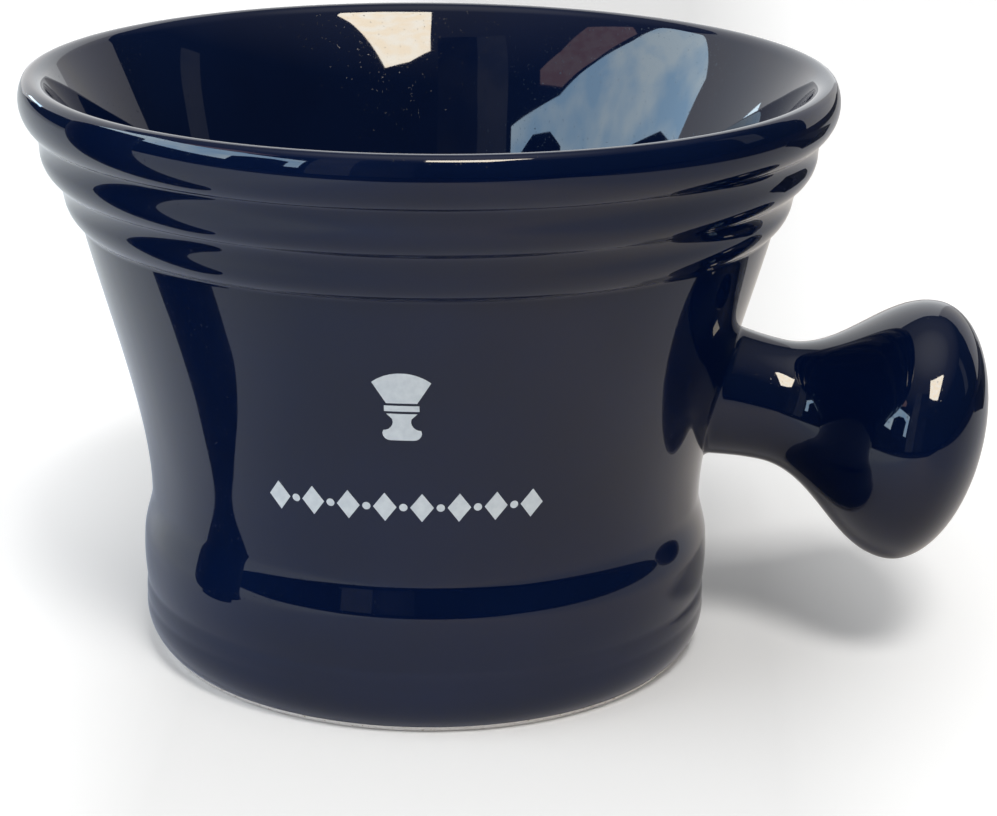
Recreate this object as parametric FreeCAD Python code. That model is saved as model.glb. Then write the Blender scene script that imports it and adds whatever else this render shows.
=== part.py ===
import FreeCAD, Part
import math
import os

from FreeCAD import Vector

# A glazed ceramic shaving mug: a flared bowl with rings under its rim, a drawn-in waist, a banded
# base on a dry foot ring, and a hollow knob handle luted to the waist.
# Frame: millimetres. The bowl's axis is Z and the foot ring stands on Z = 0. The handle points
# along +X and the print faces -Y.

# Driving dimensions: the bowl's outside, glaze included.
FOOT_R = 41.4
FOOT_BARE_R = 42.3
FOOT_BARE_Z = 1.0
HEEL_R = 44.6
HEEL_Z = 7.5
BASE_GROOVE_R = 44.5
BASE_GROOVE_Z = 10.6
SHOULDER_R = 44.8
SHOULDER_Z = 17.8
WAIST_R = 43.5
WAIST_Z = 24.8
LOW_GROOVE_R = 53.5
LOW_GROOVE_Z = 69.3
LOW_CREST_R = 56.05
LOW_CREST_Z = 73.4
MID_GROOVE_R = 57.45
MID_GROOVE_Z = 76.6
TOP_CREST_R = 59.5
TOP_CREST_Z = 80.7
TOP_GROOVE_R = 60.35
TOP_GROOVE_Z = 83.7
BRIM_R = 62.5
BRIM_Z = 88.2
LIP_EDGE_R = 61.9
LIP_EDGE_Z = 90.8
LIP_R = 60.6
LIP_Z = 91.6
INNER_BRIM_R = 58.4
INNER_BRIM_Z = 90.45
# Where the curve of the waist is pulled to: straight up at first, then out to the rings.
WAIST_PULL_Z = 37.0
FLARE_PULL_R = 49.6
FLARE_PULL_Z = 54.0
# How far the shoulder's curve runs on straight at each end.
SHOULDER_PULL = 2.2
# How far the wall leans out from upright where it passes the lower ring's crest, in degrees.
LOW_CREST_LEAN = 8.0
# How far each band of the base stands off the chord between its ends.
HEEL_RISE = 0.8
FOOT_RISE = 0.12
BAND_RISE = 0.2

# The bowl's inside, glaze included.
INNER_WAIST_R = 39.4
INNER_WAIST_Z = 24.0
INNER_LIP_PULL_R = 50.6
INNER_LIP_PULL_Z = 79.5
INNER_WAIST_PULL_R = 40.6
INNER_WAIST_PULL_Z = 52.0
CORNER_PULL_R = 33.0
CORNER_PULL_Z = 11.5
FLOOR_R = 18.0
FLOOR_Z = 7.0

# Under the base: the dry foot ring and the recess inside it.
FOOT_INNER_R = 37.6
RECESS_R = 36.3
RECESS_Z = 2.0
RECESS_BARE_R = 37.2
RECESS_BARE_Z = 0.7

# Coats.
GLAZE = 0.4
SLIP = 0.5
PRINT = 0.06

# The handle: a body of revolution about an axis that droops from the wall.
HANDLE_X = 47.5
HANDLE_Z = 41.5
HANDLE_DROOP = 11.1
STEM_R = 9.6
STEM_ROOT_R = 10.5
COLLAR_S = -2.0
COLLAR_PULL = (10.05, 1.0)
STEM_PULL_S = 4.0
STEM_WAIST_S = 7.0
STEM_OUT_PULL_S = 16.2
KNOB_PULL_S = 20.8
KNOB_R = 20.6
KNOB_S = 29.2
KNOB_END_S = 40.1
ROOT_S = -6.0
HANDLE_WALL = 4.0
BEAD_R = 11.3
BEAD_ROOT_S = -3.2
BEAD_PULL_R = 0.5
BEAD_PULL_S = -1.2
BEAD_END_S = 2.0
VENT_R = 0.9
VENT_S = 4.0

# The print.
EMBLEM_Z = 52.7
LINE_Z = 36.4
LINE_SPAN = 48.0
LINE_MARKS = 8
LOZENGE_W = 3.4
LOZENGE_H = 4.6
DOT_R = 0.6
PRINT_REACH = 60.0

# Share of a corner's side at which a cubic curve's handle makes a quarter ellipse.
QUARTER = 0.5523

AXIS = Vector(0, 0, 1)
ORIGIN = Vector(0, 0, 0)


def at(r, z):
    """A point of an outline: r from the axis, z along it."""
    return Vector(r, 0, z)


def straight(start, end):
    """A straight stretch of an outline."""
    return Part.makeLine(at(*start), at(*end))


def bulge(start, end, rise):
    """An arc whose middle stands rise off its chord, to the right of its direction of travel."""
    run = Vector(end[0] - start[0], 0, end[1] - start[1])
    side = Vector(run.z, 0, -run.x).normalize()
    middle = (at(*start) + at(*end)) * 0.5 + side * rise
    return Part.Arc(at(*start), middle, at(*end)).toShape()


def crest_rise(end, crest, lean):
    """The rise of the arc from an end to a crest that passes the crest at that lean, in degrees."""
    chord = math.degrees(math.atan2(abs(crest[0] - end[0]), abs(crest[1] - end[1])))
    return math.dist(end, crest) / 2 * math.tan(math.radians(chord - lean) / 2)


def swell(end, crest, lean):
    """The convex arc from a groove, or from the lip's edge, up to a crest."""
    return bulge(end, crest, abs(crest_rise(end, crest, lean)))


def hollow(crest, end, lean):
    """The concave arc from a ring's crest up to the groove above it."""
    return bulge(crest, end, -crest_rise(end, crest, lean))


def curve(*poles):
    """A Bezier stretch of an outline."""
    bezier = Part.BezierCurve()
    bezier.setPoles([at(*pole) for pole in poles])
    return bezier.toShape()


def spun(edges):
    """The solid that a closed outline sweeps round the Z axis."""
    wire = Part.Wire(Part.__sortEdges__(edges))
    solid = Part.Face(wire).revolve(ORIGIN, AXIS, 360)
    return solid if solid.Volume > 0 else solid.reversed()


def single(shape):
    """The one solid of a boolean's result."""
    if len(shape.Solids) != 1:
        raise ValueError("expected one solid, got %d" % len(shape.Solids))
    return shape.Solids[0]


def glaze_edge(inset):
    """The outline's lowest point, where the glaze starts above the bare foot."""
    lift = (GLAZE - inset) / 2
    return (FOOT_BARE_R + lift, FOOT_BARE_Z + lift)


def outer_wall(inset):
    """The outside of the bowl from the bare foot edge to the lip, inset from the glaze."""
    heel = (HEEL_R - inset, HEEL_Z)
    groove = (BASE_GROOVE_R - inset, BASE_GROOVE_Z)
    shoulder = (SHOULDER_R - inset, SHOULDER_Z)
    waist = (WAIST_R - inset, WAIST_Z)
    low = (LOW_GROOVE_R - inset, LOW_GROOVE_Z)
    low_crest = (LOW_CREST_R - inset, LOW_CREST_Z)
    mid = (MID_GROOVE_R - inset, MID_GROOVE_Z)
    top_crest = (TOP_CREST_R - inset, TOP_CREST_Z)
    top = (TOP_GROOVE_R - inset, TOP_GROOVE_Z)
    brim = (BRIM_R - inset, BRIM_Z)
    rounding = (SHOULDER_R - inset, SHOULDER_Z + SHOULDER_PULL)
    neck = (WAIST_R - inset, WAIST_Z - SHOULDER_PULL)
    upright = (WAIST_R - inset, WAIST_PULL_Z)
    flare = (FLARE_PULL_R - inset, FLARE_PULL_Z)
    return [
        bulge(glaze_edge(inset), heel, HEEL_RISE),
        bulge(heel, groove, BAND_RISE / 2),
        bulge(groove, shoulder, BAND_RISE),
        curve(shoulder, rounding, neck, waist),
        curve(waist, upright, flare, low),
        swell(low, low_crest, LOW_CREST_LEAN),
        hollow(low_crest, mid, LOW_CREST_LEAN),
        swell(mid, top_crest, 0),
        hollow(top_crest, top, 0),
        swell(top, brim, 0),
    ]


def outer_lip(inset):
    """The outer half of the rounded lip, from the brim up to its crest."""
    brim = (BRIM_R - inset, BRIM_Z)
    edge = (LIP_EDGE_R - inset, LIP_EDGE_Z - inset / 2)
    return [
        bulge(brim, edge, crest_rise(edge, brim, 0)),
        swell(edge, (LIP_R, LIP_Z - inset), 90),
    ]


def inner_lip(inset):
    """The inner half of the rounded lip, from its crest down to the inner wall."""
    crest = (LIP_R, LIP_Z - inset)
    inner = (INNER_BRIM_R + inset, INNER_BRIM_Z)
    return [bulge(crest, inner, abs(crest_rise(inner, crest, 90)))]


def inner_wall(inset):
    """The inside of the bowl from the lip to the middle of the floor, inset from the glaze."""
    lip = (INNER_BRIM_R + inset, INNER_BRIM_Z)
    waist = (INNER_WAIST_R + inset, INNER_WAIST_Z)
    floor = (FLOOR_R, FLOOR_Z - inset)
    lip_pull = (INNER_LIP_PULL_R + inset, INNER_LIP_PULL_Z)
    waist_pull = (INNER_WAIST_PULL_R + inset, INNER_WAIST_PULL_Z)
    wall_pull = (INNER_WAIST_R + inset, CORNER_PULL_Z)
    floor_pull = (CORNER_PULL_R, FLOOR_Z - inset)
    return [
        curve(lip, lip_pull, waist_pull, waist),
        curve(waist, wall_pull, floor_pull, floor),
        straight(floor, (0, FLOOR_Z - inset)),
    ]


def bowl_envelope(inset):
    """The bowl as if solid throughout: what its outside encloses."""
    edge = glaze_edge(inset)
    top = straight((BRIM_R - inset, BRIM_Z), (0, BRIM_Z))
    middle = straight((0, BRIM_Z), (0, edge[1]))
    return spun(outer_wall(inset) + [top, middle, straight((0, edge[1]), edge)])


def bowl():
    """The ceramic body of the bowl, on its dry foot ring."""
    foot = [
        straight((0, FLOOR_Z - GLAZE), (0, RECESS_Z)),
        straight((0, RECESS_Z), (RECESS_R, RECESS_Z)),
        straight((RECESS_R, RECESS_Z), (RECESS_BARE_R, RECESS_BARE_Z)),
        straight((RECESS_BARE_R, RECESS_BARE_Z), (FOOT_INNER_R, 0)),
        straight((FOOT_INNER_R, 0), (FOOT_R, 0)),
        bulge((FOOT_R, 0), (FOOT_BARE_R, FOOT_BARE_Z), FOOT_RISE),
    ]
    lip = outer_lip(GLAZE) + inner_lip(GLAZE)
    return spun(foot + outer_wall(GLAZE) + lip + inner_wall(GLAZE))


def outside_glaze_coat():
    """The glaze from the bare foot edge up to the crest of the lip."""
    seam = straight((LIP_R, LIP_Z), (LIP_R, LIP_Z - GLAZE))
    edge = straight(glaze_edge(GLAZE), glaze_edge(0))
    outside = outer_wall(0) + outer_lip(0)
    inside = outer_wall(GLAZE) + outer_lip(GLAZE)
    return spun(outside + [seam] + inside + [edge])


def inside_glaze():
    """The glaze from the crest of the lip down over the floor."""
    seam = straight((LIP_R, LIP_Z), (LIP_R, LIP_Z - GLAZE))
    middle = straight((0, FLOOR_Z), (0, FLOOR_Z - GLAZE))
    top = inner_wall(0) + inner_lip(0)
    under = inner_wall(GLAZE) + inner_lip(GLAZE)
    return spun(top + [seam] + under + [middle])


def base_glaze():
    """The glaze in the recess under the base, stopping short of the foot ring."""
    drop = RECESS_Z - GLAZE
    outline = [
        (0, RECESS_Z),
        (RECESS_R, RECESS_Z),
        (RECESS_BARE_R, RECESS_BARE_Z),
        (RECESS_BARE_R - GLAZE, RECESS_BARE_Z),
        (RECESS_R - GLAZE, drop),
        (0, drop),
    ]
    return spun([straight(a, b) for a, b in zip(outline, outline[1:] + outline[:1])])


def aimed(shape):
    """Turns a shape made about the Z axis to lie along the handle's axis."""
    shape.rotate(ORIGIN, Vector(0, 1, 0), 90 + HANDLE_DROOP)
    shape.translate(Vector(HANDLE_X, 0, HANDLE_Z))
    return shape


def handle_outline(inset):
    """The handle's outline from inside the bowl's wall to the end of the knob."""
    root = (STEM_ROOT_R - inset, ROOT_S)
    collar = (STEM_ROOT_R - inset, COLLAR_S)
    collar_pull = (COLLAR_PULL[0] - inset, COLLAR_PULL[1])
    waist = (STEM_R - inset, STEM_WAIST_S)
    knob = (KNOB_R - inset, KNOB_S)
    end = (0, KNOB_END_S - inset)
    depth = KNOB_END_S - KNOB_S - inset
    return [
        straight((0, ROOT_S), root),
        straight(root, collar),
        curve(collar, collar_pull, (STEM_R - inset, STEM_PULL_S), waist),
        curve(waist, (STEM_R - inset, STEM_OUT_PULL_S), (KNOB_R - inset, KNOB_PULL_S), knob),
        curve(knob, (knob[0], KNOB_S + QUARTER * depth), (QUARTER * knob[0], end[1]), end),
    ]


def handle_blank(inset):
    """The handle as if solid, inset from its glaze."""
    end = (0, KNOB_END_S - inset)
    return aimed(spun(handle_outline(inset) + [straight(end, (0, ROOT_S))]))


def bead_blank(proud):
    """The bead of slip round the root of the stem, as if solid throughout."""
    root_r = BEAD_R + proud
    top_r = STEM_R - GLAZE + proud
    outline = [
        straight((0, ROOT_S), (root_r, ROOT_S)),
        straight((root_r, ROOT_S), (root_r, BEAD_ROOT_S)),
        curve((root_r, BEAD_ROOT_S), (top_r + BEAD_PULL_R, BEAD_PULL_S), (top_r, BEAD_END_S)),
        straight((top_r, BEAD_END_S), (0, BEAD_END_S)),
        straight((0, BEAD_END_S), (0, ROOT_S)),
    ]
    return aimed(spun(outline))


def vent():
    """The pinhole under the stem that lets air out of the hollow in the kiln."""
    hole = Part.makeCylinder(VENT_R, 2 * KNOB_R, Vector(0, 0, VENT_S), Vector(1, 0, 0))
    return aimed(hole)


def knob_handle():
    """The hollow handle casting, open at the end that is luted to the bowl."""
    cavity = handle_blank(HANDLE_WALL)
    gap = bowl_envelope(GLAZE - SLIP)
    return single(handle_blank(GLAZE).cut(cavity).cut(gap).cut(vent()))


def handle_joint_slip():
    """The slip between the stem and the wall, with the bead squeezed out round it."""
    stem = handle_blank(GLAZE).cut(bowl_envelope(GLAZE - SLIP))
    slip = bead_blank(0).cut(bowl_envelope(GLAZE))
    return single(slip.cut(stem).cut(handle_blank(HANDLE_WALL)))


def handle_coat_blank():
    """What the handle and its bead fill with their glaze on."""
    return handle_blank(0).fuse(bead_blank(GLAZE))


def handle_glaze():
    """The glaze over the handle and the bead, down to the glaze of the bowl."""
    coat = handle_coat_blank().cut(bowl_envelope(0))
    return single(coat.cut(handle_blank(GLAZE)).cut(bead_blank(0)).cut(vent()))


def outside_glaze():
    """The bowl's outside glaze, open where the handle joins the wall."""
    return single(outside_glaze_coat().cut(handle_coat_blank()))


def print_layer():
    """A thin coat all round the waist, from which the printed marks are cut."""
    return bowl_envelope(-PRINT).cut(bowl_envelope(0))


def stamped(outlines, layer):
    """The marks that flat outlines in the XZ plane leave on the -Y side of the layer."""
    marks = []
    for outline in outlines:
        prism = Part.Face(outline).extrude(Vector(0, -PRINT_REACH, 0))
        marks += layer.common(prism).Solids
    return Part.makeCompound(marks)


def flat_polygon(points):
    """A closed outline of straight sides in the XZ plane."""
    corners = [Vector(x, 0, z) for x, z in points]
    return Part.makePolygon(corners + corners[:1])


def flat_arc(start, middle, end):
    """An arc in the XZ plane through three points."""
    ends = [Vector(x, 0, z) for x, z in (start, middle, end)]
    return Part.Arc(*ends).toShape()


def flat_line(start, end):
    """A straight line in the XZ plane."""
    return Part.makeLine(Vector(start[0], 0, start[1]), Vector(end[0], 0, end[1]))


def emblem_outlines():
    """A plain shaving brush: a fan of bristle, a collar and a turned handle."""
    bristle = [
        flat_line((-2.2, 0.7), (-4.2, 4.0)),
        flat_arc((-4.2, 4.0), (0, 5.5), (4.2, 4.0)),
        flat_line((4.2, 4.0), (2.2, 0.7)),
        flat_line((2.2, 0.7), (-2.2, 0.7)),
    ]
    handle = [
        flat_line((-2.2, -1.0), (2.2, -1.0)),
        flat_arc((2.2, -1.0), (1.3, -2.4), (2.7, -3.7)),
        flat_arc((2.7, -3.7), (2.6, -4.8), (1.6, -5.3)),
        flat_line((1.6, -5.3), (-1.6, -5.3)),
        flat_arc((-1.6, -5.3), (-2.6, -4.8), (-2.7, -3.7)),
        flat_arc((-2.7, -3.7), (-1.3, -2.4), (-2.2, -1.0)),
    ]
    collar = flat_polygon([(-2.5, -0.6), (2.5, -0.6), (2.5, 0.3), (-2.5, 0.3)])
    outlines = [Part.Wire(Part.__sortEdges__(bristle)), collar]
    outlines.append(Part.Wire(Part.__sortEdges__(handle)))
    for outline in outlines:
        outline.translate(Vector(0, 0, EMBLEM_Z))
    return outlines


def lozenge():
    """One lozenge, centred on the print line."""
    half_w = LOZENGE_W / 2
    half_h = LOZENGE_H / 2
    return flat_polygon(
        [(-half_w, LINE_Z), (0, LINE_Z + half_h), (half_w, LINE_Z), (0, LINE_Z - half_h)]
    )


def dot():
    """One dot, centred on the print line."""
    circle = Part.makeCircle(DOT_R, Vector(0, 0, LINE_Z), Vector(0, 1, 0))
    return Part.Wire([circle])


def print_line():
    """A row of lozenges with dots between, each stamped square to the wall behind it."""
    layer = print_layer()
    step = LINE_SPAN / (2 * LINE_MARKS - 2)
    marks = []
    for i in range(2 * LINE_MARKS - 1):
        mark = stamped([dot() if i % 2 else lozenge()], layer)
        mark.rotate(ORIGIN, AXIS, (i - LINE_MARKS + 1) * step)
        marks += mark.Solids
    return Part.makeCompound(marks)


def print_emblem():
    """The brush, stamped on the front of the bowl above the line."""
    return stamped(emblem_outlines(), print_layer())


NODES = {
    "bowl": bowl,
    "knob_handle": knob_handle,
    "handle_joint_slip": handle_joint_slip,
    "outside_glaze": outside_glaze,
    "inside_glaze": inside_glaze,
    "base_glaze": base_glaze,
    "handle_glaze": handle_glaze,
    "print_emblem": print_emblem,
    "print_line": print_line,
}

os.makedirs("parts", exist_ok=True)
for name, make in NODES.items():
    shape = make()
    print(name, len(shape.Solids), shape.isValid(), round(shape.Volume, 1))
    shape.exportStep("parts/%s.step" % name)
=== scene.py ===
import math

import bpy
import numpy as np
from mathutils import Matrix, Vector

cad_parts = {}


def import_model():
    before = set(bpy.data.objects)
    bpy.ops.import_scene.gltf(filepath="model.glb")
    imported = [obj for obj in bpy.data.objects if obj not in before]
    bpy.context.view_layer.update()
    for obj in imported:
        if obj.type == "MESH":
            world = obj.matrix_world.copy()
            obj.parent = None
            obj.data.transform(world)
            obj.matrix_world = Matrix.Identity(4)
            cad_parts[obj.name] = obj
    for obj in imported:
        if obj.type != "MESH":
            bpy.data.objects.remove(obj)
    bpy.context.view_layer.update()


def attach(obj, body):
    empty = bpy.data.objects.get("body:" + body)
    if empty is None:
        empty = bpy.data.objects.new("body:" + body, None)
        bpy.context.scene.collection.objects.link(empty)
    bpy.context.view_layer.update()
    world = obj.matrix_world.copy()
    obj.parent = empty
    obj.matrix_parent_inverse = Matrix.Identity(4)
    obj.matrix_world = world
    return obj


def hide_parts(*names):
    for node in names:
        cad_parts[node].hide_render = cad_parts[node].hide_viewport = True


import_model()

MM = 0.001

# The bowl's outside, in millimetres: (radius, height) where one band meets the next.
FOOT = (41.4, 0.0)
GLAZE_EDGE = (42.3, 1.0)
HEEL = (44.6, 7.5)
BASE_GROOVE = (44.5, 10.6)
SHOULDER = (44.8, 17.8)
WAIST = (43.5, 24.8)
WAIST_PULL = (43.5, 37.0)
FLARE_PULL = (49.6, 54.0)
LOW_GROOVE = (53.5, 69.3)
LOW_CREST = (56.05, 73.4)
MID_GROOVE = (57.45, 76.6)
TOP_CREST = (59.5, 80.7)
TOP_GROOVE = (60.35, 83.7)
BRIM = (62.5, 88.2)
LIP_EDGE = (61.9, 90.8)
LIP = (60.6, 91.6)
INNER_BRIM = (58.4, 90.45)
LOW_LEAN = math.radians(8.0)
SHOULDER_PULL = 2.2
HEEL_RISE = 0.8
FOOT_RISE = 0.12
BAND_RISE = 0.2

# The bowl's inside and its underside.
INNER_LIP_PULL = (50.6, 79.5)
INNER_WAIST_PULL = (40.6, 52.0)
INNER_WAIST = (39.4, 24.0)
CORNER_PULL_Z = 11.5
CORNER_PULL_R = 33.0
FLOOR = (18.0, 7.0)
FOOT_INNER = (37.6, 0.0)
RECESS = (36.3, 2.0)
RECESS_BARE = (37.2, 0.7)

# Coats.
GLAZE = 0.4
PRINT = 0.06

# The handle, about its own axis: (radius, distance out along the axis).
HANDLE_AT = (47.5, 0.0, 41.5)
HANDLE_DROOP = math.radians(11.1)
COLLAR = (10.5, -2.0)
COLLAR_PULL = (10.05, 1.0)
STEM = (9.6, 7.0)
STEM_PULL = (9.6, 4.0)
STEM_OUT_PULL = (9.6, 16.2)
KNOB = (20.6, 29.2)
KNOB_PULL = (20.6, 20.8)
KNOB_END = 40.1
HANDLE_WALL = 4.0
FILLET = 1.3
QUARTER = 0.5523

# How far each skin of the handle runs into the bowl's wall, and the gap that keeps its clay
# clear of its glaze.
GLAZE_SINK = 0.15
UNDER_GLAZE_SINK = 0.6
CLAY_SINK = 1.1
CLAY_GAP = 0.02

# Where along the handle's axis the wall is looked for, and in how many halvings.
WALL_SEARCH = (-12.0, 6.0)
HALVINGS = 30

# The print.
EMBLEM_Z = 52.7
LINE_Z = 36.4
LINE_SPAN = math.radians(48.0)
LOZENGES = 8
LOZENGE = (3.4, 4.6)
DOT_R = 0.6
PRINT_SINK = 0.1

# Mesh density.
TURNS = 224
STEP = 0.5
ARC_POINTS = 36
FILLET_RINGS = 7
STEM_RINGS = 12
PRINT_RINGS = 6
DOT_POINTS = 20
SHARP = math.radians(50)
PRINT_SHARP = math.radians(40)


# ---- outlines ------------------------------------------------------------------------------

def count(length):
    """Points along a stretch of an outline of that length."""
    return max(3, int(math.ceil(length / STEP)) + 1)


def arc(start, end, rise):
    """Points of an arc whose middle stands rise off its chord, to the right of its travel."""
    a = np.array(start, float)
    b = np.array(end, float)
    chord = b - a
    length = np.hypot(*chord)
    along = chord / length
    side = np.array([along[1], -along[0]])
    radius = (length ** 2 / 4 + rise ** 2) / (2 * rise)
    centre = (a + b) / 2 + side * (rise - radius)
    half = math.asin(length / 2 / radius)
    points = max(count(length), int(abs(half) * ARC_POINTS))
    turn = np.linspace(-half, half, points)[:, None]
    return centre + radius * (np.cos(turn) * side + np.sin(turn) * along)


def bezier(p0, p1, p2, p3):
    """Points of a cubic curve."""
    p0, p1, p2, p3 = (np.array(p, float) for p in (p0, p1, p2, p3))
    length = np.hypot(*(p1 - p0)) + np.hypot(*(p2 - p1)) + np.hypot(*(p3 - p2))
    t = np.linspace(0, 1, count(length))[:, None]
    s = 1 - t
    return s ** 3 * p0 + 3 * s * s * t * p1 + 3 * s * t * t * p2 + t ** 3 * p3


def crest_rise(groove, crest, lean):
    """The rise of the arc between a groove and a crest that passes the crest at that lean."""
    chord = math.atan2(abs(crest[0] - groove[0]), abs(crest[1] - groove[1]))
    return math.dist(groove, crest) / 2 * math.tan((chord - lean) / 2)


def line(start, end):
    """Points of a straight stretch."""
    a = np.array(start, float)
    b = np.array(end, float)
    t = np.linspace(0, 1, count(np.hypot(*(b - a))))[:, None]
    return a + (b - a) * t


def chain(*stretches):
    """Stretches joined end to end into one outline."""
    points = [stretches[0]] + [s[1:] for s in stretches[1:]]
    return np.concatenate(points)


def inward(point, inset):
    """A point of the outside, moved towards the axis."""
    return (point[0] - inset, point[1])


def outward(point, inset):
    """A point of the inside, moved away from the axis."""
    return (point[0] + inset, point[1])


def outer_wall(inset):
    """The outside of the bowl from the glaze's lower edge to the brim."""
    lift = (GLAZE - inset) / 2
    edge = (GLAZE_EDGE[0] + lift, GLAZE_EDGE[1] + lift)
    heel, groove, shoulder, waist, upright, flare = (
        inward(p, inset)
        for p in (HEEL, BASE_GROOVE, SHOULDER, WAIST, WAIST_PULL, FLARE_PULL)
    )
    low, low_crest, mid, top_crest, top, brim = (
        inward(p, inset)
        for p in (LOW_GROOVE, LOW_CREST, MID_GROOVE, TOP_CREST, TOP_GROOVE, BRIM)
    )
    rounding = (shoulder[0], shoulder[1] + SHOULDER_PULL)
    hollow = (waist[0], waist[1] - SHOULDER_PULL)
    return chain(
        arc(edge, heel, HEEL_RISE),
        arc(heel, groove, BAND_RISE / 2),
        arc(groove, shoulder, BAND_RISE),
        bezier(shoulder, rounding, hollow, waist),
        bezier(waist, upright, flare, low),
        arc(low, low_crest, crest_rise(low, low_crest, LOW_LEAN)),
        arc(low_crest, mid, -crest_rise(mid, low_crest, LOW_LEAN)),
        arc(mid, top_crest, crest_rise(mid, top_crest, 0)),
        arc(top_crest, top, -crest_rise(top, top_crest, 0)),
        arc(top, brim, crest_rise(top, brim, 0)),
    )


def lip(inset):
    """Over the rounded lip, from the brim to the inner wall."""
    brim = inward(BRIM, inset)
    edge = (LIP_EDGE[0] - inset, LIP_EDGE[1] - inset / 2)
    crest = (LIP[0], LIP[1] - inset)
    inner = outward(INNER_BRIM, inset)
    return chain(
        arc(brim, edge, crest_rise(edge, brim, 0)),
        arc(edge, crest, -crest_rise(edge, crest, math.pi / 2)),
        arc(crest, inner, -crest_rise(inner, crest, math.pi / 2)),
    )


def inner_wall(inset):
    """The inside of the bowl from the lip to the middle of the floor."""
    start = outward(INNER_BRIM, inset)
    waist = outward(INNER_WAIST, inset)
    floor = (FLOOR[0], FLOOR[1] - inset)
    lip_pull = outward(INNER_LIP_PULL, inset)
    waist_pull = outward(INNER_WAIST_PULL, inset)
    return chain(
        bezier(start, lip_pull, waist_pull, waist),
        bezier(waist, (waist[0], CORNER_PULL_Z), (CORNER_PULL_R, floor[1]), floor),
        line(floor, (0, floor[1])),
    )


def bowl_skin(inset):
    """The whole of the bowl's glazed outline, from its lower edge over the lip to the floor."""
    return chain(outer_wall(inset), lip(inset), inner_wall(inset))


# ---- meshes --------------------------------------------------------------------------------

def new_object(name, vertices, faces, sharp=SHARP):
    """A smooth-shaded mesh object from vertices in millimetres, creased past the sharp angle."""
    mesh = bpy.data.meshes.new(name)
    mesh.from_pydata([tuple(v) for v in np.asarray(vertices, float) * MM], [], faces)
    mesh.validate()
    mesh.shade_smooth()
    mesh.set_sharp_from_angle(angle=sharp)
    obj = bpy.data.objects.new(name, mesh)
    bpy.context.scene.collection.objects.link(obj)
    return obj


def lathe(name, outline, closed=False):
    """Spins an outline of (radius, height) points round the Z axis. Points on the axis are poles.
    A closed outline's last point joins its first."""
    vertices = []
    rings = []
    angles = np.linspace(0, 2 * math.pi, TURNS, endpoint=False)
    for r, z in outline:
        start = len(vertices)
        if abs(r) < 1e-9:
            vertices.append((0, 0, z))
            rings.append([start])
        else:
            vertices += [(r * math.cos(a), r * math.sin(a), z) for a in angles]
            rings.append(list(range(start, start + TURNS)))
    pairs = list(zip(rings, rings[1:]))
    if closed:
        pairs.append((rings[-1], rings[0]))
    faces = []
    for low, high in pairs:
        faces += strip(low, high)
    return new_object(name, vertices, faces)


def strip(low, high):
    """The faces between two rings, either of which may be a single pole."""
    if len(low) == 1 and len(high) == 1:
        return []
    n = max(len(low), len(high))
    faces = []
    for i in range(n):
        j = (i + 1) % n
        face = [low[i % len(low)], low[j % len(low)], high[j % len(high)], high[i % len(high)]]
        faces.append(tuple(dict.fromkeys(face)))
    return faces


# ---- the bowl ------------------------------------------------------------------------------

def bowl_glaze():
    """The bowl's glaze, one coat from the foot over the lip to the middle of the floor."""
    outline = np.concatenate([bowl_skin(0), bowl_skin(GLAZE)[::-1]])
    return lathe("bowl_glaze", outline, closed=True)


def bowl_clay():
    """The bowl's bare body under its glaze, with the dry foot ring."""
    foot = chain(
        line((0, RECESS[1]), RECESS),
        line(RECESS, RECESS_BARE),
        line(RECESS_BARE, FOOT_INNER),
        line(FOOT_INNER, FOOT),
        arc(FOOT, GLAZE_EDGE, FOOT_RISE),
    )
    return lathe("bowl_clay", chain(foot, bowl_skin(GLAZE)))


def recess_glaze():
    """The glaze under the base, inside the foot ring."""
    drop = RECESS[1] - GLAZE
    corner = (RECESS[0] - GLAZE, drop)
    edge = inward(RECESS_BARE, GLAZE)
    return lathe("recess_glaze", chain(
        line((0, drop), corner),
        line(corner, edge),
        line(edge, RECESS_BARE),
        line(RECESS_BARE, RECESS),
        line(RECESS, (0, RECESS[1])),
    ))


# ---- the handle ----------------------------------------------------------------------------

WALL = outer_wall(0)


def wall_radius(z):
    """The glazed wall's outside radius at a height."""
    return float(np.interp(z, WALL[:, 1], WALL[:, 0]))


def handle_frame():
    """The handle's root, its axis, and the two directions across it."""
    c = math.cos(HANDLE_DROOP)
    s = math.sin(HANDLE_DROOP)
    return np.array(HANDLE_AT), np.array([c, 0, -s]), np.array([s, 0, c]), np.array([0, 1, 0])


def handle_point(s, r, turn):
    """A point s out along the handle's axis and r from it."""
    root, axis, up, across = handle_frame()
    return root + s * axis + r * (math.cos(turn) * up + math.sin(turn) * across)


def wall_meets(r, turn):
    """How far out along the axis a line r from it comes out of the bowl's wall."""
    low, high = WALL_SEARCH
    for _ in range(HALVINGS):
        middle = (low + high) / 2
        x, y, z = handle_point(middle, r, turn)
        if math.hypot(x, y) < wall_radius(z):
            low = middle
        else:
            high = middle
    return (low + high) / 2


def handle_outline(inset):
    """The handle's outline, (distance, radius), from its collar to the end of the knob."""
    collar, collar_pull, stem_pull, stem, out_pull, knob_pull, knob = (
        inward(p, inset)
        for p in (COLLAR, COLLAR_PULL, STEM_PULL, STEM, STEM_OUT_PULL, KNOB_PULL, KNOB)
    )
    end = KNOB_END - inset
    depth = end - KNOB[1]
    dome = [(knob[0], KNOB[1] + QUARTER * depth), (QUARTER * knob[0], end), (0, end)]
    return chain(
        bezier(collar, collar_pull, stem_pull, stem),
        bezier(stem, out_pull, knob_pull, knob),
        bezier(knob, *dome),
    )


def stem_radius(s, outline):
    """The handle's radius at a distance along its stem."""
    stem = outline[outline[:, 1] <= STEM[1]]
    return float(np.interp(s, stem[:, 1], stem[:, 0]))


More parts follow.
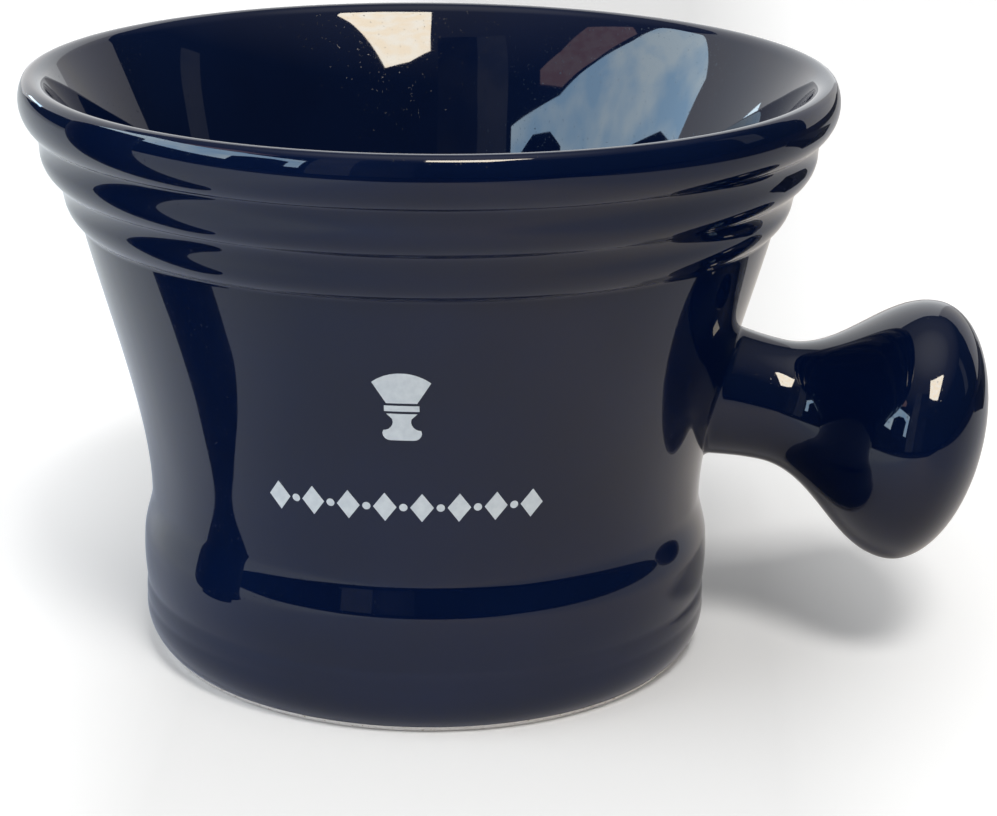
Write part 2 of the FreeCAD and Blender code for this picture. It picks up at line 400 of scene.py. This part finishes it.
def handle_skin(inset, turns, sink):
    """The handle's surface in rings from the wall outwards, ending in a pole: vertices and rings."""
    outline = handle_outline(inset)
    beyond = outline[outline[:, 1] > STEM[1]]
    angles = np.linspace(0, 2 * math.pi, turns, endpoint=False)
    columns = []
    for turn in angles:
        foot = wall_meets(STEM[0], turn) - sink
        neck_r = stem_radius(foot + FILLET, outline)
        column = []
        for bend in np.linspace(0, math.pi / 2, FILLET_RINGS):
            r = neck_r + FILLET * (1 - math.sin(bend))
            s = wall_meets(r, turn) - sink + FILLET * (1 - math.cos(bend))
            column.append((s, r))
        for s in np.linspace(foot + FILLET, STEM[1], STEM_RINGS)[1:]:
            column.append((s, stem_radius(s, outline)))
        column += [(s, r) for r, s in beyond[:-1]]
        columns.append([handle_point(s, r, turn) for s, r in column])
    rows = len(columns[0])
    vertices = [columns[i][row] for row in range(rows) for i in range(turns)]
    rings = [list(range(row * turns, (row + 1) * turns)) for row in range(rows)]
    vertices.append(handle_point(KNOB_END - inset, 0, 0))
    rings.append([len(vertices) - 1])
    return vertices, rings


def handle_shell(name, outer, inner):
    """A closed shell between two skins of the handle, joined where they leave the wall."""
    outside, outer_rings = outer
    inside, inner_rings = inner
    inner_rings = [[i + len(outside) for i in ring] for ring in inner_rings]
    faces = []
    for low, high in zip(outer_rings, outer_rings[1:]):
        faces += strip(high, low)
    for low, high in zip(inner_rings, inner_rings[1:]):
        faces += strip(low, high)
    faces += strip(outer_rings[0], inner_rings[0])
    return new_object(name, outside + inside, faces)


def handle_glaze_skin():
    """The glaze on the handle, filleted into the glaze of the wall."""
    turns = TURNS // 2
    return handle_shell("handle_glaze_skin", handle_skin(0, turns, GLAZE_SINK),
                        handle_skin(GLAZE, turns, UNDER_GLAZE_SINK))


def handle_clay():
    """The hollow clay of the handle, from inside the joint to the end of the knob."""
    turns = TURNS // 4
    return handle_shell("handle_clay", handle_skin(GLAZE + CLAY_GAP, turns, CLAY_SINK),
                        handle_skin(HANDLE_WALL, turns, CLAY_SINK))


# ---- the print -----------------------------------------------------------------------------

def stamp(outline, centre, turn):
    """A mark on the wall: an outline of (across, height) points filled in rings about its centre."""
    middle = np.array(centre, float)
    vertices = []
    for share in np.linspace(1, 0, PRINT_RINGS, endpoint=False):
        for across, z in middle + (outline - middle) * share:
            vertices.append(on_wall(across, z, PRINT, turn))
    rim = [on_wall(across, z, -PRINT_SINK, turn) for across, z in outline]
    n = len(outline)
    rings = [[row * n + i for i in range(n)] for row in range(PRINT_RINGS)]
    top = len(vertices)
    vertices.append(on_wall(middle[0], middle[1], PRINT, turn))
    base = list(range(top + 1, top + 1 + n))
    vertices += rim
    vertices.append(on_wall(middle[0], middle[1], -PRINT_SINK, turn))
    faces = strip(base, rings[0])
    for outer, inner in zip(rings, rings[1:]):
        faces += strip(outer, inner)
    faces += strip(rings[-1], [top])
    faces += strip([len(vertices) - 1], base)
    return vertices, faces


def on_wall(across, z, lift, turn):
    """A point on the glazed wall, stamped square to it from the front and then turned."""
    r = wall_radius(z) + lift
    depth = math.sqrt(r * r - across * across)
    c = math.cos(turn)
    s = math.sin(turn)
    return (across * c + depth * s, across * s - depth * c, z)


def joined(name, parts):
    """One print from several sets of vertices and faces."""
    vertices = []
    faces = []
    for some_vertices, some_faces in parts:
        shift = len(vertices)
        vertices += list(some_vertices)
        faces += [tuple(i + shift for i in face) for face in some_faces]
    return new_object(name, vertices, faces, PRINT_SHARP)


def three_point_arc(a, b, c, points=9):
    """Points on the arc from a through b to c, without the last."""
    (ax, ay), (bx, by), (cx, cy) = a, b, c
    d = 2 * (ax * (by - cy) + bx * (cy - ay) + cx * (ay - by))
    aa, bb, cc = ax * ax + ay * ay, bx * bx + by * by, cx * cx + cy * cy
    ux = (aa * (by - cy) + bb * (cy - ay) + cc * (ay - by)) / d
    uy = (aa * (cx - bx) + bb * (ax - cx) + cc * (bx - ax)) / d
    angles = [math.atan2(y - uy, x - ux) for x, y in (a, b, c)]
    turn = (angles[2] - angles[0]) % (2 * math.pi)
    if (angles[1] - angles[0]) % (2 * math.pi) > turn:
        turn -= 2 * math.pi
    radius = math.hypot(ax - ux, ay - uy)
    steps = [angles[0] + turn * i / points for i in range(points)]
    return [(ux + radius * math.cos(t), uy + radius * math.sin(t)) for t in steps]


def run(a, b, points=6):
    """Points on a straight side, without the last."""
    return [(a[0] + (b[0] - a[0]) * i / points, a[1] + (b[1] - a[1]) * i / points)
            for i in range(points)]


def emblem_print():
    """A plain shaving brush: bristle, collar and turned handle."""
    bristle = run((2.2, 0.7), (4.2, 4.0)) + three_point_arc((4.2, 4.0), (0, 5.5), (-4.2, 4.0), 18)
    bristle += run((-4.2, 4.0), (-2.2, 0.7)) + run((-2.2, 0.7), (2.2, 0.7))
    collar = run((-2.5, -0.6), (2.5, -0.6)) + run((2.5, -0.6), (2.5, 0.3), 2)
    collar += run((2.5, 0.3), (-2.5, 0.3)) + run((-2.5, 0.3), (-2.5, -0.6), 2)
    grip = run((2.2, -1.0), (-2.2, -1.0)) + three_point_arc((-2.2, -1.0), (-1.3, -2.4), (-2.7, -3.7))
    grip += three_point_arc((-2.7, -3.7), (-2.6, -4.8), (-1.6, -5.3), 5) + run((-1.6, -5.3), (1.6, -5.3))
    grip += three_point_arc((1.6, -5.3), (2.6, -4.8), (2.7, -3.7), 5)
    grip += three_point_arc((2.7, -3.7), (1.3, -2.4), (2.2, -1.0))
    parts = []
    for outline, centre in ((bristle, (0, 2.8)), (collar, (0, -0.15)), (grip[::-1], (0, -3.2))):
        raised = np.array(outline) + (0, EMBLEM_Z)
        parts.append(stamp(raised, (centre[0], centre[1] + EMBLEM_Z), 0))
    return joined("emblem_print", parts)


def line_print():
    """A row of lozenges with dots between."""
    half_w, half_h = LOZENGE[0] / 2, LOZENGE[1] / 2
    corners = [(-half_w, LINE_Z), (0, LINE_Z - half_h), (half_w, LINE_Z), (0, LINE_Z + half_h)]
    sides = zip(corners, corners[1:] + corners[:1])
    lozenge = np.array([point for start, end in sides for point in run(start, end)])
    turn = np.linspace(0, 2 * math.pi, DOT_POINTS, endpoint=False)
    dot = np.stack([DOT_R * np.cos(turn), LINE_Z + DOT_R * np.sin(turn)], 1)
    marks = 2 * LOZENGES - 1
    step = LINE_SPAN / (marks - 1)
    parts = []
    for i in range(marks):
        outline = dot if i % 2 else lozenge
        parts.append(stamp(outline, (0, LINE_Z), (i - (marks - 1) / 2) * step))
    return joined("line_print", parts)


# ---- materials -----------------------------------------------------------------------------

def material(name):
    """A new node material, its node tree and its shader."""
    made = bpy.data.materials.new(name)
    made.use_nodes = True
    tree = made.node_tree
    return made, tree, tree.nodes["Principled BSDF"]


def noise(tree, scale, detail):
    """A noise texture in the object's own metres. Its scale is in grains per metre."""
    place = tree.nodes.new("ShaderNodeTexCoord")
    made = tree.nodes.new("ShaderNodeTexNoise")
    made.inputs["Scale"].default_value = scale
    made.inputs["Detail"].default_value = detail
    tree.links.new(place.outputs["Object"], made.inputs["Vector"])
    return made.outputs["Fac"]


def ramp(tree, value, *stops):
    """A colour ramp over a value, from stops of (position, colour)."""
    made = tree.nodes.new("ShaderNodeValToRGB")
    tree.links.new(value, made.inputs["Fac"])
    elements = made.color_ramp.elements
    while len(elements) < len(stops):
        elements.new(0.5)
    for element, (position, colour) in zip(elements, stops):
        element.position = position
        element.color = (*colour, 1)
    return made.outputs["Color"]


def bump(tree, height, distance, strength=1.0, under=None):
    """A bump from a height, over the bump under it. The distance is in metres."""
    made = tree.nodes.new("ShaderNodeBump")
    made.inputs["Distance"].default_value = distance
    made.inputs["Strength"].default_value = strength
    tree.links.new(height, made.inputs["Height"])
    if under is not None:
        tree.links.new(under, made.inputs["Normal"])
    return made.outputs["Normal"]


def navy_glaze():
    """Deep navy gloss glaze: thick and near black, with slight pooling, waves and pinholes."""
    made, tree, shader = material("navy_glaze")
    cloud = noise(tree, 45, 4)
    tone = ramp(tree, cloud, (0.3, (0.0008, 0.0040, 0.021)), (0.7, (0.0012, 0.0058, 0.029)))
    tree.links.new(tone, shader.inputs["Base Color"])
    shader.inputs["IOR"].default_value = 1.46
    haze = ramp(tree, noise(tree, 220, 2), (0.35, (0.018,) * 3), (0.75, (0.04,) * 3))
    tree.links.new(haze, shader.inputs["Roughness"])
    waves = bump(tree, noise(tree, 60, 1), 0.00006)
    pits = ramp(tree, noise(tree, 2600, 1), (0.22, (0, 0, 0)), (0.27, (1, 1, 1)))
    tree.links.new(bump(tree, pits, 0.00002, 0.35, waves), shader.inputs["Normal"])
    return made


def fired_print():
    """The pale fired-on print, a little uneven in the ink."""
    made, tree, shader = material("fired_print")
    ink = ramp(tree, noise(tree, 900, 3), (0.3, (0.56, 0.61, 0.64)), (0.7, (0.66, 0.71, 0.73)))
    tree.links.new(ink, shader.inputs["Base Color"])
    shader.inputs["Roughness"].default_value = 0.38
    tree.links.new(bump(tree, noise(tree, 1800, 2), 0.00001), shader.inputs["Normal"])
    return made


def biscuit():
    """Bare fired clay, with fine grain and faint iron specks."""
    made, tree, shader = material("biscuit")
    specks = ramp(tree, noise(tree, 1500, 2), (0.30, (0.45, 0.38, 0.30)), (0.36, (0.74, 0.70, 0.64)),
                  (0.8, (0.80, 0.77, 0.72)))
    tree.links.new(specks, shader.inputs["Base Color"])
    shader.inputs["Roughness"].default_value = 0.85
    tree.links.new(bump(tree, noise(tree, 3000, 4), 0.00008), shader.inputs["Normal"])
    return made


# ---- the studio ----------------------------------------------------------------------------

CAMERA_TURN = math.radians(4.0)
CAMERA_BACK = 414.8
CAMERA_UP = 170.4
CAMERA_PITCH = 0.301
CAMERA_YAW = -0.010
CAMERA_ROLL = 0.005
LENS = 99.1
SHIFT = (0.0988, -0.028)

# The middle that the lights and panels stand round, how far off the lights are, the strength of
# the even fill, and how far the floor's painted light and shade for the gloss and its painted glow
# at the sides reach. Metres.
MIDDLE = Vector((0, 0, 0.07))
LIGHT_DISTANCE = 1.6
FILL = 0.5
GLOSS_PAINT_REACH = 0.6
PAINTED_GLOW_REACH = 0.12


def camera():
    """The camera, a little to the handle's side of the front and above the rim."""
    made = bpy.data.cameras.new("camera")
    made.sensor_width = 36
    made.lens = LENS
    made.shift_x, made.shift_y = SHIFT
    made.clip_start = 0.01
    obj = bpy.data.objects.new("camera", made)
    bpy.context.scene.collection.objects.link(obj)
    ahead = Vector((math.sin(CAMERA_YAW) * math.cos(CAMERA_PITCH),
                    math.cos(CAMERA_YAW) * math.cos(CAMERA_PITCH), -math.sin(CAMERA_PITCH)))
    right = Vector((math.cos(CAMERA_YAW), -math.sin(CAMERA_YAW), 0))
    up = right.cross(ahead)
    tilted_right = right * math.cos(CAMERA_ROLL) + up * math.sin(CAMERA_ROLL)
    tilted_up = up * math.cos(CAMERA_ROLL) - right * math.sin(CAMERA_ROLL)
    turn = Matrix.Rotation(CAMERA_TURN, 4, "Z")
    place = Matrix.Identity(4)
    for column, axis in enumerate((tilted_right, tilted_up, -ahead)):
        for row in range(3):
            place[row][column] = axis[row]
    place[1][3] = -CAMERA_BACK * MM
    place[2][3] = CAMERA_UP * MM
    obj.matrix_world = turn @ place
    bpy.context.scene.camera = obj


def blend(tree, kind, share, first, second):
    """Two colours blended. The share may be a number or a node's output."""
    made = tree.nodes.new("ShaderNodeMix")
    made.data_type = "RGBA"
    made.blend_type = kind
    if isinstance(share, float):
        made.inputs["Factor"].default_value = share
    else:
        tree.links.new(share, made.inputs["Factor"])
    tree.links.new(first, made.inputs["A"])
    tree.links.new(second, made.inputs["B"])
    return made.outputs["Result"]


def along(tree, axis, reach):
    """How far a point of the floor lies along an axis, from 0 at -reach to 1 at +reach."""
    place = tree.nodes.new("ShaderNodeTexCoord")
    split = tree.nodes.new("ShaderNodeSeparateXYZ")
    tree.links.new(place.outputs["Object"], split.inputs["Vector"])
    share = tree.nodes.new("ShaderNodeMapRange")
    share.inputs["From Min"].default_value = -reach
    share.inputs["From Max"].default_value = reach
    tree.links.new(split.outputs[axis], share.inputs["Value"])
    return share.outputs["Result"]


def floor():
    """The plain pale floor, with a painted glow that whitens it at both sides. The gloss sees painted
    light and shade on it from place to place, out to a table's edge."""
    bpy.ops.mesh.primitive_plane_add(size=12)
    obj = bpy.context.object
    obj.name = "floor"
    made, tree, shader = material("floor")
    plain = ramp(tree, noise(tree, 8, 2), (0.3, (0.93, 0.93, 0.93)), (0.7, (0.95, 0.95, 0.95)))
    # Painted light and shade for the gloss alone: the floor lighter to the far left, bluish and greyer
    # near the mug, darker to the right, and near black past a table's edge at the right and in front.
    across = ramp(tree, along(tree, "X", GLOSS_PAINT_REACH), (0.39, (0.92, 0.97, 1.0)),
                  (0.45, (0.68, 0.73, 0.85)), (0.57, (0.82, 0.76, 0.70)), (0.64, (0.60, 0.60, 0.62)),
                  (0.80, (0.60, 0.59, 0.58)), (0.82, (0.03, 0.03, 0.03)))
    back = ramp(tree, along(tree, "Y", GLOSS_PAINT_REACH), (0.115, (0.03, 0.03, 0.03)),
                (0.135, (0.95, 0.97, 1.0)), (1.0, (1.0, 1.0, 1.0)))
    painted_light_for_gloss = blend(tree, "MULTIPLY", 1.0, across, back)
    camera_ray = tree.nodes.new("ShaderNodeLightPath").outputs["Is Camera Ray"]
    tree.links.new(blend(tree, "MIX", camera_ray, painted_light_for_gloss, plain), shader.inputs["Base Color"])
    # Painted light: the floor glows to the camera alone at both sides, lifting them towards white and
    # thinning the mug's shadow there.
    painted_glow = ramp(tree, along(tree, "X", PAINTED_GLOW_REACH), (0.18, (0.35, 0.35, 0.35)), (0.36, (0, 0, 0)),
                 (0.73, (0, 0, 0)), (0.89, (0.25, 0.25, 0.25)))
    tree.links.new(painted_glow, shader.inputs["Emission Color"])
    tree.links.new(camera_ray, shader.inputs["Emission Strength"])
    shader.inputs["Roughness"].default_value = 0.9
    shader.inputs["Specular IOR Level"].default_value = 0.1
    obj.data.materials.append(made)


def toward(azimuth, elevation):
    """A direction from compass degrees, clockwise from +Y, and degrees above the horizon."""
    a = math.radians(azimuth)
    e = math.radians(elevation)
    return Vector((math.sin(a) * math.cos(e), math.cos(a) * math.cos(e), math.sin(e)))


def softbox(azimuth, elevation, size, power, tint):
    """A large soft light that lights the floor and the body, and that the gloss doesn't show."""
    made = bpy.data.lights.new("softbox", "AREA")
    made.size = size
    made.energy = power
    made.color = tint
    obj = bpy.data.objects.new("softbox", made)
    bpy.context.scene.collection.objects.link(obj)
    ray = toward(azimuth, elevation)
    obj.location = MIDDLE + ray * LIGHT_DISTANCE
    obj.rotation_mode = "QUATERNION"
    obj.rotation_quaternion = ray.to_track_quat("Z", "Y")
    obj.visible_glossy = False


def only_in_gloss(obj):
    """Makes a studio piece show in the gloss alone."""
    obj.visible_camera = False
    obj.visible_diffuse = False
    obj.visible_shadow = False
    obj.visible_transmission = False
    obj.visible_volume_scatter = False


def glow(name, dim, bright, strength, scale, clouds=2.0):
    """An uneven glow between two colours, in patches."""
    made, tree, shader = material(name)
    tree.nodes.remove(shader)
    light = tree.nodes.new("ShaderNodeEmission")
    light.inputs["Strength"].default_value = strength
    tone = ramp(tree, noise(tree, scale, clouds), (0.38, dim), (0.62, bright))
    tree.links.new(tone, light.inputs["Color"])
    tree.links.new(light.outputs[0], tree.nodes["Material Output"].inputs["Surface"])
    return made


def panel(name, corners, distance, finish):
    """A flat or bent panel from a row of (azimuth, low elevation, high elevation) edges."""
    vertices = []
    for azimuth, low, high in corners:
        flat = toward(azimuth, 0) * distance
        for elevation in (low, high):
            vertices.append(MIDDLE + flat + Vector((0, 0, distance * math.tan(math.radians(elevation)))))
    faces = [(2 * i, 2 * i + 2, 2 * i + 3, 2 * i + 1) for i in range(len(corners) - 1)]
    mesh = bpy.data.meshes.new(name)
    mesh.from_pydata(vertices, [], faces)
    obj = bpy.data.objects.new(name, mesh)
    bpy.context.scene.collection.objects.link(obj)
    obj.data.materials.append(finish)
    only_in_gloss(obj)


def flag(name, shape, place, half):
    """A dark flag by the mug, a cylinder or a box of those half sizes, shown as dark patches."""
    if shape == "round":
        bpy.ops.mesh.primitive_cylinder_add(vertices=64, radius=1, depth=2)
    else:
        bpy.ops.mesh.primitive_cube_add(size=2)
    obj = bpy.context.object
    obj.name = name
    obj.location = place
    obj.scale = half
    made, tree, shader = material(name)
    tone = ramp(tree, noise(tree, 2, 2), (0.3, (0.001, 0.002, 0.004)), (0.7, (0.002, 0.004, 0.008)))
    tree.links.new(tone, shader.inputs["Base Color"])
    shader.inputs["Roughness"].default_value = 0.6
    obj.data.materials.append(made)
    only_in_gloss(obj)


def room():
    """What the gloss shows round the mug: a sky window, a warm lamp and a pale wall behind."""
    sky = glow("sky", (0.42, 0.66, 0.92), (0.74, 0.90, 1.0), 8.0, 2.2, 3)
    lamp = glow("lamp", (1.0, 0.86, 0.66), (1.0, 0.93, 0.80), 24.0, 6.0)
    wall = glow("pale_wall", (0.95, 0.98, 1.0), (1.0, 1.0, 1.0), 1.25, 1.5)
    side = glow("grey_wall", (0.95, 0.95, 1.0), (1.0, 0.98, 0.95), 0.75, 1.5)
    dusk = glow("dusk", (0.5, 0.6, 0.8), (0.8, 0.9, 1.0), 0.1, 2.5)
    post = glow("post", (0.6, 0.7, 0.85), (0.9, 0.95, 1.0), 0.3, 2.5)
    curtain = glow("curtain", (0.9, 0.55, 0.5), (1.0, 0.72, 0.68), 1.5, 9.0)
    head = glow("head", (0.3, 0.4, 0.6), (0.6, 0.7, 0.9), 0.05, 9.0)
    panel("window", [(-150, 12, 29), (-131, 14, 33), (-117, 17, 38), (-100, 20, 42), (-86, 20, 44.5),
                     (-78, 16, 45), (-70, 25, 38)], 1.6, sky)
    panel("lamp", [(134, 58, 60), (141, 55, 61), (152, 47, 62), (158, 41, 62), (168, 43, 62),
                   (177, 46, 62)], 1.5, lamp)
    panel("back_wall", [(-80, 17, 40), (-62, 12, 42), (-46, 4, 43), (-30, -4, 44), (0, -4, 42),
                        (16, -4, 40)], 1.7, wall)
    panel("side_wall", [(16, -4, 38), (30, -4, 36), (46, -4, 28), (54, -4, 14)], 1.7, side)
    panel("dusk", [(-180, 0, 50), (-164, 0, 50)], 1.7, dusk)
    panel("post", [(-164, 0, 50), (-152, 0, 50)], 1.7, post)
    panel("far_post", [(75, 8, 35), (83, 8, 35)], 1.7, post)
    panel("low_window", [(-52, 6, 11), (-39, 6, 11)], 1.6, sky)
    panel("curtain", [(-139, 36, 39), (-130, 34.5, 43), (-116, 39, 50), (-97, 44, 47)], 1.55, curtain)
    panel("head", [(-146, 0, 24), (-141, 0, 27), (-134, 0, 27), (-129, 0, 24)], 1.5, head)


def world():
    """Pale to the camera, an even fill to the body, and a dim room to the gloss."""
    made = bpy.data.worlds.new("world")
    bpy.context.scene.world = made
    made.use_nodes = True
    tree = made.node_tree
    pale = tree.nodes["Background"]
    pale.inputs["Color"].default_value = (1, 1, 1, 1)
    pale.inputs["Strength"].default_value = FILL
    dim = tree.nodes.new("ShaderNodeBackground")
    place = tree.nodes.new("ShaderNodeTexCoord")
    split = tree.nodes.new("ShaderNodeSeparateXYZ")
    tree.links.new(place.outputs["Generated"], split.inputs["Vector"])
    tone = ramp(tree, split.outputs["Z"], (0.0, (0.02, 0.025, 0.03)), (0.6, (0.04, 0.05, 0.06)),
                (0.88, (0.30, 0.31, 0.33)), (1.0, (0.9, 0.9, 0.9)))
    tree.links.new(tone, dim.inputs["Color"])
    backdrop = tree.nodes.new("ShaderNodeBackground")
    backdrop.inputs["Color"].default_value = (1.0, 1.0, 1.0, 1)
    rays = tree.nodes.new("ShaderNodeLightPath")
    seen = tree.nodes.new("ShaderNodeMixShader")
    tree.links.new(rays.outputs["Is Camera Ray"], seen.inputs["Fac"])
    tree.links.new(pale.outputs[0], seen.inputs[1])
    tree.links.new(backdrop.outputs[0], seen.inputs[2])
    glossy = tree.nodes.new("ShaderNodeMixShader")
    tree.links.new(rays.outputs["Is Glossy Ray"], glossy.inputs["Fac"])
    tree.links.new(seen.outputs[0], glossy.inputs[1])
    tree.links.new(dim.outputs[0], glossy.inputs[2])
    tree.links.new(glossy.outputs[0], tree.nodes["World Output"].inputs["Surface"])


# ---- making --------------------------------------------------------------------------------

def add(piece, slot, finish, *nodes):
    """Gives a piece its body and its material, and hides the CAD nodes that it stands for. Its slot is
    not used.
    """
    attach(piece, "root")
    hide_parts(*nodes)
    piece.data.materials.append(finish)


camera()
floor()
world()
softbox(160, 55, 0.42, 13, (1.0, 0.98, 0.95))
softbox(-110, 30, 1.3, 9, (0.93, 0.97, 1.0))
flag("left_flag", "round", (-0.098, -0.040, 0.058), (0.019, 0.019, 0.058))
flag("right_flag", "square", (0.265, 0.175, 0.014), (0.075, 0.05, 0.014))
room()
glaze = navy_glaze()
clay = biscuit()
ink = fired_print()
add(bowl_glaze(), "glaze", glaze, "outside_glaze", "inside_glaze")
add(bowl_clay(), "biscuit", clay, "bowl", "handle_joint_slip")
add(recess_glaze(), "glaze", glaze, "base_glaze")
add(handle_glaze_skin(), "glaze", glaze, "handle_glaze")
add(handle_clay(), "biscuit", clay, "knob_handle")
add(emblem_print(), "print", ink, "print_emblem")
add(line_print(), "print", ink, "print_line")
bpy.context.scene.view_settings.view_transform = "Standard"
